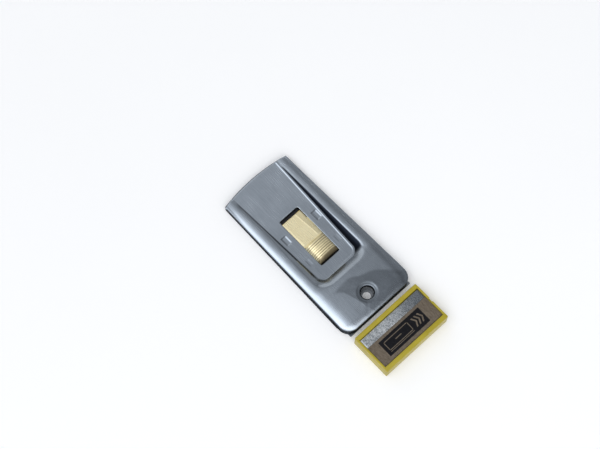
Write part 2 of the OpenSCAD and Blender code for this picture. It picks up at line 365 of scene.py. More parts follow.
@dataclass(frozen=True)
class CardFinish:
    """Uncoated brown card with flecks and fibres."""

    name: str
    dark: Colour
    light: Colour
    fleck: Colour = (0.05, 0.04, 0.03)

    def build(self) -> bpy.types.Material:
        """Makes the Blender material.

        Returns:
            The material.
        """
        pen = Nodes(self.name)
        fibre = pen.noise(1500.0, (0.35, 1, 1), 8.0)
        flecks = pen.noise(2400.0, detail=2.0)
        tone = pen.join(pen.span(fibre, 0.0, 0.7), pen.span(flecks, 0.0, 0.3, 0.35, 0.6))
        colour = pen.ramp(tone, [(0.0, self.fleck), (0.22, self.dark), (0.85, self.light)])
        pen.bump(fibre, 0.00003, 0.35)
        pen.fix(Base_Color=colour, Metallic=0.0, Roughness=0.88, Specular_IOR_Level=0.2)
        return pen.material


@dataclass(frozen=True)
class FloorFinish:
    """The pale ground that the object stands on."""

    name: str = "pale_ground"
    tone: Colour = (0.95, 0.955, 0.96)

    def build(self) -> bpy.types.Material:
        """Makes the Blender material.

        Returns:
            The material.
        """
        pen = Nodes(self.name)
        low = tuple(c * 0.985 for c in self.tone)
        colour = pen.ramp(pen.noise(6.0, detail=2.0), [(0.3, low), (0.7, self.tone)])
        pen.fix(Base_Color=colour, Emission_Color=colour, Roughness=0.75,
                Emission_Strength=0.12)
        return pen.material


class Finishes:
    """Every material of the object, by name."""

    def __init__(self) -> None:
        """Builds them all."""
        specs = [
            # nickel_shell: the shell's masks lay painted shade and painted reflection on it
            MetalFinish("nickel_shell", (0.395, 0.445, 0.50), (0.525, 0.585, 0.65), rough=0.22,
                        rough_swing=0.05, masked=True),
            # A darker copy of the nickel for the walls and hems: painted shade
            MetalFinish("side_painted_shade", (0.17, 0.185, 0.205), (0.27, 0.29, 0.315), rough=0.3,
                        graze=0.0),
            # Near black for the blade carrier seen down the window's front gap: painted shade
            MetalFinish("carrier_painted_shade", (0.035, 0.036, 0.04), (0.06, 0.06, 0.065), rough=0.4),
            # Darker than the shell's nickel for the base plate and stud: painted shade
            MetalFinish("plate_painted_shade", (0.24, 0.26, 0.28), (0.36, 0.38, 0.40), rough=0.33),
            MetalFinish("ground_blade", (0.62, 0.64, 0.67), (0.76, 0.78, 0.80), rough=0.22,
                        brush=Brush.ACROSS),
            # rolled_spine: its mask lays painted shade along each strip
            MetalFinish("rolled_spine", (0.26, 0.29, 0.31), (0.86, 0.89, 0.91), rough=0.26,
                        rough_swing=0.12, brush=Brush.NONE, line_bump=0.55, mottle=0.32,
                        masked=True, painted_shade_colour=(0.10, 0.12, 0.14)),
            # satin_brass: the leaf's masks lay painted shade in its grooves and hollows
            MetalFinish("satin_brass", (0.97, 0.84, 0.51), (1.0, 0.91, 0.60), rough=0.27,
                        rough_swing=0.02, metallic=0.52, line_bump=0.02, masked=True,
                        painted_shade_colour=(0.11, 0.075, 0.032)),
            PlasticFinish("yellow_plastic", (0.39, 0.315, 0.019), (0.46, 0.375, 0.028)),
            CardFinish("brown_card", (0.118, 0.096, 0.073), (0.184, 0.151, 0.115)),
            CardFinish("black_print", (0.004, 0.004, 0.006), (0.011, 0.011, 0.014),
                       (0.02, 0.018, 0.016)),
        ]
        self.by_name = {s.name: s.build() for s in specs}

    def __getitem__(self, name: str) -> bpy.types.Material:
        """The material of that name."""
        return self.by_name[name]


def new_object(name: str, data: bpy.types.ID) -> bpy.types.Object:
    """Puts a new object with that data in the scene.

    Args:
        name: the object's name.
        data: its mesh, light or camera.

    Returns:
        The object.
    """
    obj = bpy.data.objects.new(name, data)
    bpy.context.scene.collection.objects.link(obj)
    return obj


class Pen:
    """Collects bench points into one mesh piece of the object."""

    def __init__(self) -> None:
        """Starts an empty mesh."""
        self.bm = bmesh.new()

    def grid(self, rows: Sequence[Sequence[Point]], skip: Callable[[int, int], bool]
             = lambda i, j: False, finish: int = 0,
             mask: Callable[[Point], tuple[float, float]] | None = None) -> None:
        """Adds a grid of quads through rows of points.

        Args:
            rows: the points, row by row.
            skip: tells which cells stay open.
            finish: which of the piece's finishes the quads take.
            mask: gives a point's two mask values, or None for no masks.
        """
        made = [[self.bm.verts.new(at(*p)) for p in row] for row in rows]
        layer = self.bm.loops.layers.uv.verify() if mask else None
        values = [[mask(p) for p in row] for row in rows] if mask else []
        for i in range(len(made) - 1):
            for j in range(len(made[i]) - 1):
                if not skip(i, j):
                    face = self.bm.faces.new((made[i][j], made[i][j + 1],
                                              made[i + 1][j + 1], made[i + 1][j]))
                    face.material_index = finish
                    if layer:
                        for loop, (a, b) in zip(face.loops, ((i, j), (i, j + 1),
                                                             (i + 1, j + 1), (i + 1, j))):
                            loop[layer].uv = values[a][b]

    def fan(self, hub: Point, rim: Sequence[Point]) -> None:
        """Adds triangles from a hub to each step of a rim.

        Args:
            hub: the common corner.
            rim: the points round it.
        """
        centre = self.bm.verts.new(at(*hub))
        edge = [self.bm.verts.new(at(*p)) for p in rim]
        for a, b in zip(edge, edge[1:]):
            self.bm.faces.new((centre, a, b))

    def box(self, low: Point, high: Point, round_mm: float = 0.0, steps: int = 3) -> None:
        """Adds a closed box between two corners, with its edges rounded.

        Args:
            low: one corner.
            high: the opposite corner.
            round_mm: the edges' radius.
            steps: segments of the rounding.
        """
        made = bmesh.ops.create_cube(self.bm, size=1.0)
        verts = made["verts"]
        a, b = at(*low), at(*high)
        size = Vector([abs(y - x) for x, y in zip(a, b)])
        bmesh.ops.scale(self.bm, vec=size, verts=verts)
        bmesh.ops.translate(self.bm, vec=(a + b) / 2, verts=verts)
        if round_mm:
            edges = list({e for v in verts for e in v.link_edges})
            bmesh.ops.bevel(self.bm, geom=edges, offset=round_mm * MM, segments=steps,
                            profile=0.5, affect="EDGES", material=-1)

    def prism(self, outline: Sequence[tuple[float, float]], low: float, high: float) -> None:
        """Adds a closed upright prism over a plan outline of (u, v) points.

        Args:
            outline: the plan's corners.
            low: height of its foot.
            high: height of its top.
        """
        foot = self.bm.faces.new([self.bm.verts.new(at(u, v, low)) for u, v in outline])
        made = bmesh.ops.extrude_face_region(self.bm, geom=[foot])["geom"]
        top = [item for item in made if isinstance(item, bmesh.types.BMVert)]
        bmesh.ops.translate(self.bm, vec=(0, 0, (high - low) * MM), verts=top)

    def piece(self, name: str, material: bpy.types.Material | list, body: str,
              smooth_deg: float = 35.0) -> bpy.types.Object:
        """Finishes the mesh as an object that rides on a body.

        Args:
            name: the piece's name.
            material: its finish, or all of its finishes.
            body: the body that it rides on.
            smooth_deg: edges under this angle are shaded smooth.

        Returns:
            The object.
        """
        bmesh.ops.remove_doubles(self.bm, verts=self.bm.verts, dist=2e-7)
        bmesh.ops.recalc_face_normals(self.bm, faces=self.bm.faces)
        mesh = bpy.data.meshes.new(name)
        self.bm.to_mesh(mesh)
        self.bm.free()
        if mesh.uv_layers:
            mesh.uv_layers[0].name = MASKS
        for finish in material if isinstance(material, list) else [material]:
            mesh.materials.append(finish)
        obj = new_object(name, mesh)
        mesh.shade_smooth()
        mesh.set_sharp_from_angle(angle=math.radians(smooth_deg))
        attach(obj, body)
        LOG.info("made %s", name)
        return obj


def thicken(obj: bpy.types.Object, thickness: float, offset: float, edge: float) -> None:
    """Gives a skin its sheet thickness and rounds its cut edges.

    Args:
        obj: the skin.
        thickness: sheet thickness in millimetres.
        offset: -1 to grow inwards, 1 outwards.
        edge: rounding of the cut edges in millimetres.
    """
    solid = obj.modifiers.new("sheet", "SOLIDIFY")
    solid.thickness = thickness * MM
    solid.offset = offset
    bevel = obj.modifiers.new("edges", "BEVEL")
    bevel.width = edge * MM
    bevel.segments = 2
    bevel.limit_method = "ANGLE"
    bevel.angle_limit = math.radians(65)


@dataclass
class PressedShell:
    """The pressed cover: wedge, sunken panel, window, detents, eyelet and hems."""

    front_half: float = 20.8
    flare: float = 1.5
    front_top: float = 4.5
    rear_top: float = 7.8
    edge_fall: tuple[float, float] = (1.02, 1.3)
    edge_width: tuple[float, float] = (4.7, 6.0)
    fold_r: float = 0.55
    lip: float = 0.2
    crown: float = 0.35
    rail_fall: float = 0.5
    corner_r: float = 6.5
    bow: float = 2.2
    panel_z: float = 3.8
    panel_front_half: float = 15.0
    panel_rear_half: float = 12.3
    panel_end: float = 61.7
    panel_corner: float = 4.0
    window: tuple[float, float, float] = (24.0, 55.0, 6.25)  # u from, u to, half width
    window_r: float = 0.8
    eyelet_r: float = 3.2
    eyelet_round: float = 1.25
    eyelet_dish: float = 0.3
    pull: float = 0.10
    pull_r: float = 13.0
    pleats: tuple[tuple[float, float, float], ...] = (  # angle, spread, depth
        (-70, 7, 0.10), (-42, 6, 0.08), (-118, 9, 0.06))
    detents: tuple[tuple[float, float, float, float], ...] = (  # middle, half sizes
        (33.6, 10.3, 2.4, 1.3), (49.6, 9.7, 1.9, 0.8))
    detent_depths: tuple[float, float] = (0.24, 0.09)
    # The darker patch by the eyelet is painted reflection.
    painted_reflection: tuple[tuple[tuple[float, float], ...], ...] = (  # (v, u) of the two edges of the painted reflection
        ((-16, 69.6), (-8, 68.0), (-1.7, 68.0), (3, 71.0), (10.4, 73.0), (18.6, 80.5),
         (22, 83.0)),
        ((-16, 69.6), (-10, 74.2), (-7.6, 76.2), (-6.4, 82.0), (-4.5, 94.0)))
    hem: tuple[float, float] = (2.0, 83.0)
    plate_top: float = 1.2
    rim_soft: float = 2.6
    floor_soft: float = 0.3
    rows: list[float] = field(default_factory=list)

    @property
    def corner_u(self) -> float:
        """Where the rear corners' arcs start."""
        return PLATE_LEN - self.corner_r

    @property
    def rear_half(self) -> float:
        """Half the outside width where the rear corners start."""
        return self.front_half + self.flare

    def half(self, u: float) -> float:
        """Half the outside width at u, corners included.

        Args:
            u: place along the length, in millimetres.

        Returns:
            The half width.
        """
        if u <= self.corner_u:
            return self.front_half + self.flare * u / self.corner_u
        run = clamp((u - self.corner_u) / self.corner_r)
        return self.rear_half - self.corner_r * (1 - math.sqrt(max(0.0, 1 - run * run)))

    def brink(self, u: float) -> float:
        """Half the width at u where the sheet starts to fold down.

        Args:
            u: place along the length, in millimetres.

        Returns:
            The half width.
        """
        if u <= self.corner_u:
            return self.half(u) - self.fold_r
        reach = self.corner_r - self.fold_r
        return (self.rear_half - self.corner_r
                + math.sqrt(max(0.0, reach**2 - (u - self.corner_u) ** 2)))

    def fold(self, s: float, v: float) -> list[Point]:
        """Points of the sheet's fold, from a point on the brink out to the wall.

        Args:
            s: the row's station.
            v: place of the brink across.

        Returns:
            The points, from the brink down.
        """
        side = self.rear_half - self.corner_r
        out_u, out_v = 0.0, math.copysign(1.0, v)
        if s > self.corner_u:
            out_u, out_v = s - self.corner_u, math.copysign(max(abs(v) - side, 0.0), v)
            size = math.hypot(out_u, out_v)
            out_u, out_v = out_u / size, out_v / size
        z = self.place(s, v)[2]
        points = []
        for a in (math.radians(15 * k) for k in range(7)):
            reach = self.fold_r * math.sin(a)
            at_v = v + out_v * reach
            lead = self.arc(at_v) * clamp(1 - s / 20.0)
            points.append((s + lead + out_u * reach, at_v, z - self.fold_r * (1 - math.cos(a))))
        return points

    def inset(self, u: float, v: float) -> float:
        """Distance from a plan point in to the outline.

        Args:
            u: place along the length, in millimetres.
            v: place across.

        Returns:
            The distance, negative outside.
        """
        side = self.rear_half - self.corner_r
        if u > self.corner_u and abs(v) > side:
            return self.corner_r - math.hypot(u - self.corner_u, abs(v) - side)
        if u > self.corner_u:
            return PLATE_LEN - u
        return min(self.half(u) - abs(v), PLATE_LEN - u)

    def arc(self, v: float) -> float:
        """How far the bowed front edge stands ahead of the corners at v, as u."""
        r = (self.front_half**2 + self.bow**2) / (2 * self.bow)
        return r - self.bow - math.sqrt(r * r - min(abs(v), self.front_half) ** 2)

    def top(self, u: float) -> float:
        """Height of the wedge's top at u.

        Args:
            u: place along the length, in millimetres.

        Returns:
            The height.
        """
        flat_u = PLATE_LEN - 2 * self.corner_r + 1.9
        slope = (self.rear_top - self.front_top) / flat_u
        return soft_min(self.front_top + slope * u, self.rear_top, 0.12)

    def edge(self, u: float) -> tuple[float, float]:
        """Fall and plan width of the top's slope to its edge at u.

        Args:
            u: place along the length, in millimetres.

        Returns:
            The fall and the width.
        """
        t = clamp(u / self.corner_u)
        (fall0, fall1), (wide0, wide1) = self.edge_fall, self.edge_width
        return fall0 + (fall1 - fall0) * t, wide0 + (wide1 - wide0) * t

    def panel_half(self, u: float) -> float:
        """Half the sunken panel's width at u."""
        t = clamp(u / (self.panel_end - self.panel_corner), -0.2, 1.0)
        return self.panel_front_half + (self.panel_rear_half - self.panel_front_half) * t

    def outside_panel(self, u: float, v: float) -> float:
        """Signed distance from a plan point to the panel's outline, positive outside.

        Args:
            u: place along the length, in millimetres.
            v: place across.

        Returns:
            The distance.
        """
        qu = u - (self.panel_end - self.panel_corner)
        qv = abs(v) - (self.panel_rear_half - self.panel_corner)
        if qu <= 0:
            return abs(v) - self.panel_half(u)
        if qv <= 0:
            return u - self.panel_end
        return math.hypot(qu, qv) - self.panel_corner

    def wall_run(self, u: float, v: float) -> float:
        """Plan run of the tub's wall for each millimetre that it rises.

        Args:
            u: place along the length, in millimetres.
            v: place across.

        Returns:
            The run.
        """
        run = 0.3 + 0.6 * clamp((u + 2) / 58.0)
        qu = u - (self.panel_end - self.panel_corner)
        qv = max(abs(v) - (self.panel_rear_half - self.panel_corner), 0.0)
        if qu > 0:
            run += 0.1 * qu / math.hypot(qu, qv + 1e-6)
        return run

    def rim(self, u: float) -> float:
        """Half the width of the tub's rim at u."""
        run = self.wall_run(min(u, 57.0), 0)
        return self.panel_half(u) + run * (self.top(u) - self.panel_z)

    def height(self, u: float, v: float) -> float:
        """Height of the shell's outer face over a plan point.

        Args:
            u: place along the length, in millimetres.
            v: place across.

        Returns:
            The height from the table.
        """
        fall, wide = self.edge(u)
        d = max(self.inset(u, v), 0.0)
        z = self.top(u) - fall * clamp(1 - d / wide) ** 2
        z -= self.crown * (v / 20.0) ** 2
        rim = self.rim(u)
        rail = clamp((abs(v) - rim) / (0.8 * (self.half(min(u, self.corner_u)) - rim)))
        z -= self.rail_fall * (1 - rail) ** 2 * ease((66 - u) / 5.0)
        out = self.outside_panel(u, v)
        wall = self.panel_z + out / self.wall_run(u, v)
        depth = self.top(u) - self.panel_z
        z = soft_min(z, wall, min(self.rim_soft, depth))
        z = soft_max(z, self.panel_z, min(self.floor_soft, 0.4 * depth))
        z += self.lip * math.exp(-(((out + 0.5) / 0.45) ** 2)) * ease((v + 2) / 6)
        for (cu, cv, hu, hv), sink in zip(self.detents, self.detent_depths):
            inside = min(hu - abs(u - cu), hv - abs(abs(v) - cv))
            z -= sink * ease(inside / 0.75 + 0.5)
        return z - self.draw(u, v)

    def draw(self, u: float, v: float) -> float:
        """How far drawing the eyelet down pulls the sheet around it.

        Args:
            u: place along the length, in millimetres.
            v: place across.

        Returns:
            The drop.
        """
        r = math.hypot(u - HOLE_U, v)
        if not 3.0 < r < self.pull_r or u < 66:
            return 0.0
        angle = math.degrees(math.atan2(v, u - HOLE_U))
        folds = sum(depth * math.exp(-((angle - mid) / wide) ** 2)
                    for mid, wide, depth in self.pleats)
        pull = self.pull + folds * clamp((r - 4.5) / 2.0)
        return ease((self.pull_r - r) / 6.0) * pull * clamp((v + 19) / 4)

    def mask(self, point: Point) -> tuple[float, float]:
        """Gives a point's painted shade and how far it lies in the painted reflection by the
        eyelet.

        Args:
            point: a bench point.

        Returns:
            The two mask values, from 0 to 1.
        """
        u, v, _ = point
        out = self.outside_panel(u, v)
        past_rim = ease(out / 0.2 + 0.5)
        # right: painted shade on the tub's right wall, widening towards the rear
        reach = 0.4 + 0.06 * u
        right = past_rim * ease((reach - out) / (0.2 * reach + 0.1)) * ease((u - 1.5) / 3.0)
        right *= ease((v - 6.5) / 3.5) * ease((63.5 - u) / 3.0)
        # left: painted shade on the tub's left wall
        left = max(0.8 * ease((0.75 + 0.016 * u - out) / 0.7), 0.24 * ease((3.0 - out) / 2.6))
        left *= past_rim * ease((-v - 6.5) / 3.0) * ease((62 - u) / 8.0) * ease((u - 1.5) / 3.0)
        # edge: painted shade along the outline's fold
        edge = 0.75 * ease((0.5 - self.inset(u, v)) / 0.4) if u > 1 else 0.0
        # rise and behind: painted shade, darker towards the rear and on the tub's rear wall,
        # sparing the left edge
        rise = 0.2 * ease((u - 8) / 45) + 0.12 * ease((u - 62) / 6) * ease((v + 6) / 12)
        behind = 0.38 * past_rim * ease((3.5 - out) / 2) * ease((u - 57) / 3)
        tone = max(rise, behind) * ease((v + 19) / 5)
        # painted reflection: a darker patch by the eyelet, between the two edges in the table
        upper, lower = (sum(follow(table, v + 0.8 * k) for k in range(-2, 3)) / 5
                        for table in self.painted_reflection)
        painted_reflection = ease((u - upper) / (2.0 + 0.08 * abs(v))) * ease((lower - u) / 3.2)
        return (max(right, left, edge, tone, self.dent_shade(u, v)), painted_reflection)

    def dent_shade(self, u: float, v: float) -> float:
        """Shade along the front and left walls of the detents, at a point.

        Args:
            u: place along the length, in millimetres.
            v: place across.

        Returns:
            The shade, from 0 to 1.
        """
        shade = 0.0
        for (cu, cv, hu, hv), sink in zip(self.detents, self.detent_depths):
            du, dv = u - cu, v - math.copysign(cv, v)
            if abs(du) < hu + 0.4 and abs(dv) < hv + 0.4:
                near = min(abs(du + hu), 3 * abs(dv + hv) + 0.1)
                shade = max(shade, 2.4 * sink * ease(1 - near / 0.7))
        return shade

    def edge_steps(self, wide: float) -> list[float]:
        """Distances in from the brink where the grid follows the edge's slope."""
        return [wide - k * wide / 12 for k in range(13)]

    def columns(self, u: float) -> list[float]:
        """Plan places across one half at u, from the window's edge to the brink.

        Args:
            u: place along the length, in millimetres.

        Returns:
            The places, from the middle out.
        """
        w = self.window[2]
        floor = self.panel_half(u)
        wide = self.edge(u)[1] - self.fold_r
        brink = self.brink(u)
        rim = max(min(self.rim(u), brink - wide - 0.2), floor + 0.3)
        wide = min(wide, brink - rim - 0.2)
        out = spread(w, floor - 1.5, 16)
        out += spread(floor - 1.5, floor + 0.25, 11)
        out += spread(floor + 0.25, rim, 8)
        out += spread(rim, brink - wide, 10, 0.3)
        out += [brink - d for d in self.edge_steps(wide)]
        return out

    def stations(self) -> list[float]:
        """Places of the grid's rows along the length.

        Returns:
            The places, by rising u.
        """
        w0, w1, w = self.window
        r = self.window_r
        runs = ((0, 20, 26), (20, w0, 6), (w0 + r, 30.5, 9), (30.5, 36.7, 22), (36.7, 47, 14),
                (47, 52.2, 20), (52.2, w1 - r, 4), (w1, 68, 62), (68, HOLE_U - w, 12),
                (HOLE_U - w, HOLE_U + w, 20))
        marks = [m for run in runs for m in spread(*run)]
        marks += [w0, w1 - r, HOLE_U + w, HOLE_U + w + 0.4]
        marks += [end + step for end in self.hem for step in (0.0, 0.02)]
        last = PLATE_LEN - self.fold_r
        marks += [last - d for d in self.edge_steps(2.6)]
        marks += [last - (0.3 * k) ** 2 / (2 * self.corner_r) for k in range(1, 5)]
        return sorted({round(m, 5) for m in marks})

    def place(self, s: float, v: float) -> Point:
        """Point of the outer face for a row's station and a place across.

        Args:
            s: the row's station, which is u behind the bowed front edge.
            v: place across.

        Returns:
            The point.
        """
        lead = self.arc(v) * clamp(1 - s / 20.0)
        u = s + lead
        return (u, v, self.height(u, v))

    def middle(self) -> list[float]:
        """Places across the middle, between the window's long edges.

        Returns:
            The places, from left to right.
        """
        w, r = self.window[2], self.window_r
        inner = spread(-w + r, w - r, 20) + [w - r]
        return [-w, *inner]

    def across(self, s: float) -> list[float]:
        """Places all the way across, from brink to brink, of the row at s."""
        half = self.columns(s)
        return [-v for v in reversed(half)] + self.middle()[1:] + half

    def drop(self, point: Point) -> list[Point]:
        """Points straight down from the fold's end to the base plate's top."""
        u, v, z = point
        return [(u, v, z + (self.plate_top - z) * k / 5) for k in range(6)]

    def skin(self, pen: Pen) -> None:
        """Adds the outer face, with the window and the eyelet's square left open.

        Args:
            pen: collects the faces.
        """
        rows = [[self.place(s, v) for v in self.across(s)] for s in self.rows]
        n = len(self.columns(0))
        m = len(self.middle()) - 1
        w0, w1, w = self.window
        r = self.window_r

        def skip(i: int, j: int) -> bool:
            """True for a cell in the window or in the eyelet's square.

            Args:
                i: the cell's row.
                j: the cell's column.

            Returns:
                Whether it stays open.
            """
            if not n - 1 <= j < n + m:
                return False
            a, b = self.rows[i], self.rows[i + 1]
            in_window = a >= w0 - 1e-4 and b <= w1 + 1e-4
            in_eyelet = a >= HOLE_U - w - 1e-4 and b <= HOLE_U + w + 1e-4
            return in_window or in_eyelet

        pen.grid(rows, skip, mask=self.mask)
        z = self.panel_z
        for su, corner_u in ((1, w0), (-1, w1)):
            for sv in (-1, 1):
                rim = [(corner_u + su * r * (1 - math.sin(a)),
                        sv * (w - r * (1 - math.cos(a))), z)
                       for a in (math.radians(10 * k) for k in range(10))]
                pen.fan((corner_u, sv * w, z), rim)

    def eyelet(self, pen: Pen) -> None:
        """Adds the drawn-down eyelet, from its square opening to the base plate.

        Args:
            pen: collects the faces.
        """
        w = self.window[2]
        side = [s - HOLE_U for s in self.rows if HOLE_U - w - 1e-4 <= s <= HOLE_U + w + 1e-4]
        across = self.middle() + [w]
        ring = [(-w, v) for v in across[:-1]] + [(s, w) for s in side[:-1]]
        ring += [(w, v) for v in reversed(across[1:])] + [(s, -w) for s in reversed(side[1:])]
        angles = [math.atan2(dv, du) for du, dv in ring]
        mouth = self.eyelet_r + self.eyelet_round
        dish = 5.9
        loops: list[list[Point]] = []
        for t in (0.0, 0.25, 0.5, 0.75, 1.0):
            loop = []
            for (du, dv), a in zip(ring, angles):
                pu = du + (dish * math.cos(a) - du) * t
                pv = dv + (dish * math.sin(a) - dv) * t
                loop.append((HOLE_U + pu, pv, self.height(HOLE_U + pu, pv)))
            loops.append(loop)
        profile = [(dish - (dish - mouth) * t, self.eyelet_dish * ease(t))
                   for t in (0.2, 0.4, 0.6, 0.8, 1.0)]
        profile += [(mouth - self.eyelet_round * math.sin(a),
                     self.eyelet_dish + self.eyelet_round * (1 - math.cos(a)))
                    for a in (math.radians(k) for k in range(12, 91, 13))]
        for radius, sink in profile:
            loop = [(HOLE_U + radius * math.cos(a), radius * math.sin(a)) for a in angles]
            loops.append([(u, v, self.height(u, v) - sink) for u, v in loop])
        for z in (5.0, 3.4, 2.2, self.plate_top):
            loops.append([(HOLE_U + self.eyelet_r * math.cos(a),
                           self.eyelet_r * math.sin(a), z) for a in angles])

        def shade(point: Point) -> tuple[float, float]:
            """Paints shade into the bore below its rounding.

            Args:
                point: a bench point.

            Returns:
                The two mask values.
            """
            r = math.hypot(point[0] - HOLE_U, point[1])
            tone, painted_reflection = self.mask(point)
            return (max(0.95 * ease((self.eyelet_r + 1.0 - r) / 0.55), tone), painted_reflection)

        pen.grid([[*loop, loop[0]] for loop in loops], mask=shade)

    def walls(self, pen: Pen) -> None:
        """Adds the side and rear walls and the folded hems.

        Args:
            pen: collects the faces.
        """
        first, end = self.hem
        arc = [math.radians(30 * k) for k in (1, 2, 3)]
        for side in (-1, 1):
            bends = [self.fold(s, side * self.brink(s)) for s in self.rows]
            hem, low = [], []
            for s, bend in zip(self.rows, bends):
                h, (u, v, _) = self.half(s), bend[-1]
                if s <= end:
                    low.append([(u, v, self.plate_top), (u, v, SHEET)])
                if first <= s <= end:
                    hem.append([(u, v, SHEET), (u, v, 0.35)]
                               + [(u, side * (h - 0.35 * (1 - math.cos(a))),
                                   0.35 * (1 - math.sin(a))) for a in arc]
                               + [(u, side * (h - 1.6), 0.0), (u, side * (h - 3.0), 0.0)])
            pen.grid(bends, mask=self.mask)
            # The walls and hems take finish 1, the darker side finish: painted shade
            for rows in ([self.drop(bend[-1]) for bend in bends], low, hem):
                pen.grid(rows, finish=1)
        last = self.rows[-1]
        bends = [self.fold(last, v) for v in self.across(last)]
        pen.grid(bends, mask=self.mask)
        # The rear wall takes the same darker side finish: painted shade
        pen.grid([self.drop(bend[-1]) for bend in bends], finish=1)

    def build(self, finishes: Finishes) -> bpy.types.Object:
        """Makes the piece that stands for the CAD shell.

        Args:
            finishes: the materials.

        Returns:
            The piece.
        """
        self.rows = self.stations()
        pen = Pen()
        self.skin(pen)
        self.eyelet(pen)
        self.walls(pen)
        # The second finish is the darker copy of the nickel: painted shade on walls and hems
        both = [finishes["nickel_shell"], finishes["side_painted_shade"]]
        obj = pen.piece("shell_skin", both, "housing", 50)
        thicken(obj, 0.55, -1, 0.07)
        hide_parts("top_shell")
        return obj


@dataclass
class ThumbLeaf:
    """The brass leaf: flat pad, ribbed hump, foot and side wings."""

    start: float = 26.1
    hump: tuple[float, float] = (41.9, 54.0)
    half: float = 6.19
    pad_z: float = 3.05
    crest: float = 6.4
    pad_tilt: float = 0.5
    rib_pitch: float = 1.15
    rib_depth: float = 0.36
    rib_from: float = 43.7
    rib_to: float = 51.8

    def lift(self, u: float) -> float:
        """Height of the hump's crest line over the pad at u.

        Args:
            u: place along the length, in millimetres.

        Returns:
            The height over the pad.
        """
        a, b = self.hump
        up = ease((u - a) / 2.0)
        down = clamp((b - u) / 2.9)
        fall = math.sqrt(max(0.0, 1 - (1 - down) ** 2.4))
        return (self.crest - self.pad_z) * up * fall

    def ribs(self, u: float) -> float:
        """Depth of the saw-toothed ribs at u.

        Args:
            u: place along the length, in millimetres.

        Returns:
            The depth.
        """
        if not self.rib_from <= u <= self.rib_to:
            return 0.0
        phase = ((u - self.rib_from) / self.rib_pitch) % 1.0
        tooth = phase / 0.78 if phase < 0.78 else (1 - phase) / 0.22
        return self.rib_depth * tooth

    def height(self, u: float, v: float) -> float:
        """Height of the leaf's top over a plan point.

        Args:
            u: place along the length, in millimetres.
            v: place across.

        Returns:
            The height from the table.
        """
        arch = max(0.0, 1 - abs(v / (self.half + 0.02)) ** 3.2) ** (1 / 2.2)
        base = self.pad_z + 0.1 - self.pad_tilt * clamp((40.0 - u) / 14.0)
        z = base + self.lift(u) * arch
        z -= self.ribs(u) * clamp(arch * 1.3)
        flat = 1 - ease((u - self.hump[0] + 0.8) / 1.0)
        crease = 3.0 + (u - 26.5) * 0.073
        z -= 0.40 * flat * clamp((v - crease) / (self.half - crease)) ** 1.1 if v > crease else 0
        z += 0.07 * flat * math.exp(-(((v - crease) / 0.22) ** 2))
        z -= 0.16 * flat * clamp((-v - 5.1) / 0.8)
        return z

    def mask(self, point: Point) -> tuple[float, float]:
        """Painted shade in the ribs' grooves, on the hump's rising face, top and rear, and along
        the pad's right bevel and left crease, at a point.

        Args:
            point: a bench point.

        Returns:
            The two mask values, from 0 to 1.
        """
        u, v, _ = point
        # Painted shade in the grooves, on the hump's rising face and on its rear
        groove = clamp(self.ribs(u) / self.rib_depth * 1.8 - 0.8)
        groove *= 1 - 0.55 * math.exp(-(((u - 47.2) / 1.0) ** 2))
        # Painted shade along the pad's bevel and crease and over the hump
        pad = 1 - ease((u - self.hump[0]) / 1.5)
        side = pad * (0.5 * ease((v - 3.15 - (u - 26.5) * 0.073) / 0.3) + 0.45
                      * math.exp(-(((v + 5.05) / 0.16) ** 2)))
        hump = 0.62 * ease((u - self.hump[0] - 0.5) / 2.0) * ease((v + 5.6) / 3.0)
        rise = 0.55 * math.exp(-(((u - 43.1) / 0.55) ** 2)) * ease((v + 5) / 5)
        return (max(0.95 * groove, rise, 0.85 * ease((u - 51.6) / 1.0)), max(side, hump))

    def build(self, finishes: Finishes) -> bpy.types.Object:
        """Makes the piece that stands for the CAD leaf.

        Args:
            finishes: the materials.

        Returns:
            The leaf's piece.
        """
        pen = Pen()
        marks = spread(self.start, 41.0, 24) + spread(41.0, 43.6, 14)
        tooth = (0.0, 0.2, 0.4, 0.6, 0.74, 0.78, 0.89, 0.97)
        marks += [self.rib_from + self.rib_pitch * (i + t) for i in range(7) for t in tooth]
        marks += spread(51.8, self.hump[1], 22) + [self.hump[1]]
        across = [self.half * math.sin(math.radians(a)) for a in range(-90, 91, 4)]
        across = sorted(set(across + [-5.3, -5.18, -5.05, -4.92, -4.8]
                            + [2.8 + 0.13 * k for k in range(14)]))
        top = [[(u, v, self.height(u, v)) for v in across] for u in marks]
        lip = [[(self.start - 0.2, v, self.height(self.start, v) - 0.15) for v in across],
               [(self.start - 0.25, v, self.pad_z - 0.5) for v in across],
               [(self.start - 0.25, v, 1.75) for v in across]]
        pen.grid([lip[2], lip[1], lip[0], *top], mask=self.mask)
        for s in (-1, 1):
            pen.grid([[(u, s * self.half, self.height(u, s * self.half)),
                       (u, s * (self.half + 0.02), 2.72), (u, s * 6.4, 2.7),
                       (u, s * 11.8, 2.7)] for u in spread(31.1, 53.5, 12) + [53.5]],
                     mask=lambda p: (0.0, 0.0))
        obj = pen.piece("leaf_skin", finishes["satin_brass"], "thumb", 32)
        thicken(obj, 0.33, -1, 0.05)
        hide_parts("thumb_leaf")
        foot = Pen()
        for v0, v1 in ((-5.5, -3.7), (3.7, 5.5), (-1.9, 1.9)):
            foot.box((self.start, v0, 1.7), (30.5, v1, 2.1), 0.08, 2)
        foot.piece("leaf_foot", finishes["satin_brass"], "thumb")
        return obj


